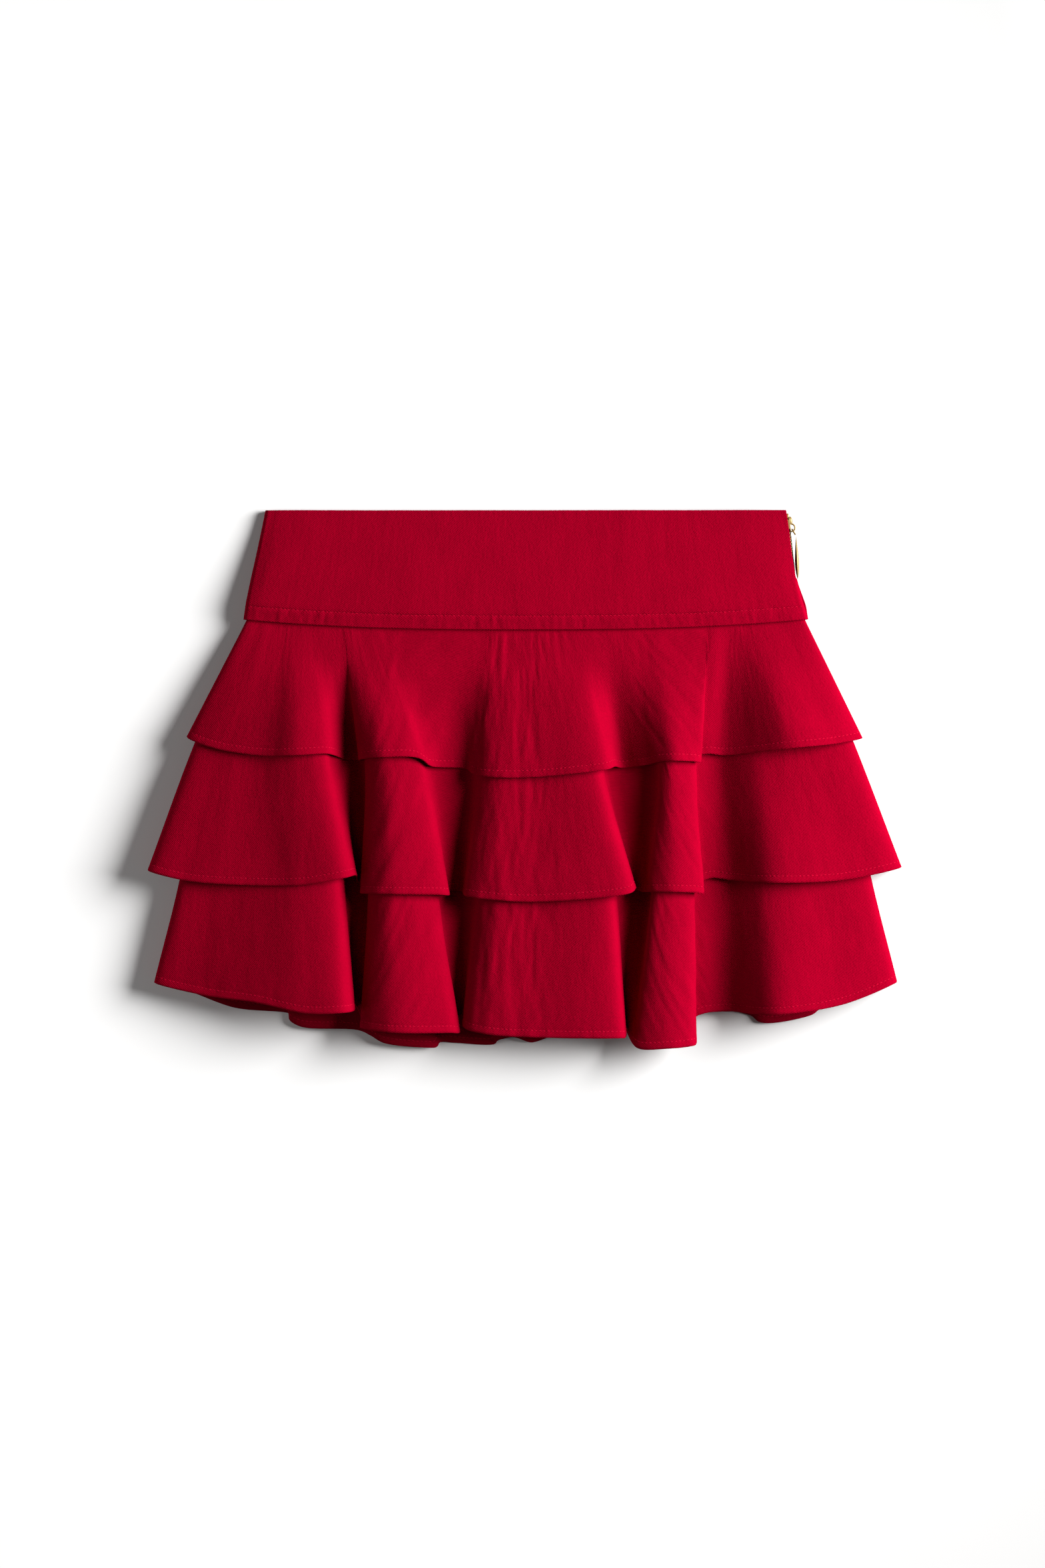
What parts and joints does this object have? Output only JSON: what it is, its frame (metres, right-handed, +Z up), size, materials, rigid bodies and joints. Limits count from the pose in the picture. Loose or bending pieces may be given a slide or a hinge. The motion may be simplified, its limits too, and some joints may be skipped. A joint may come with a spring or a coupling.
{
  "type": "tiered ruffle skirt",
  "caption": "Short flared skirt laid flat: a shaped hip yoke with a side zip and a swinging drop-shaped pull, and nested circular flounces that hang from the yoke seam in flutes.",
  "frame": {"origin": "on the surface the skirt lies on, below the middle of its bounding box", "axes": "+X to the side with the zip, +Y to the waist, +Z up off the surface; the hem is towards -Y"},
  "size_m": [0.5335, 0.3819, 0.0345],
  "materials": {
    "red_cloth": "soft matt crepe",
    "red_cloth_inside": "soft matt crepe, back panels",
    "zip_tape": "fine woven tape",
    "gold_metal": "polished pale gold"
  },
  "bodies": {
    "skirt": {"tier_1_front": "red_cloth", "tier_1_back": "red_cloth_inside", "tier_2_front": "red_cloth", "tier_2_back": "red_cloth_inside", "tier_3_front": "red_cloth", "tier_3_back": "red_cloth_inside", "yoke_front": "red_cloth", "yoke_back": "red_cloth_inside", "zip_tape": "zip_tape", "zip_chain": "gold_metal", "zip_slider": "gold_metal"},
    "pull": {"zip_link": "gold_metal", "zip_pull": "gold_metal"}
  },
  "joints": [
    {"name": "pull_swing", "type": "hinge", "parent": "skirt", "child": "pull", "pos_m": [0.1889, 0.17851, 0.00496], "axis": [0, 0, 1], "range_deg": [0, 130]}
  ]
}
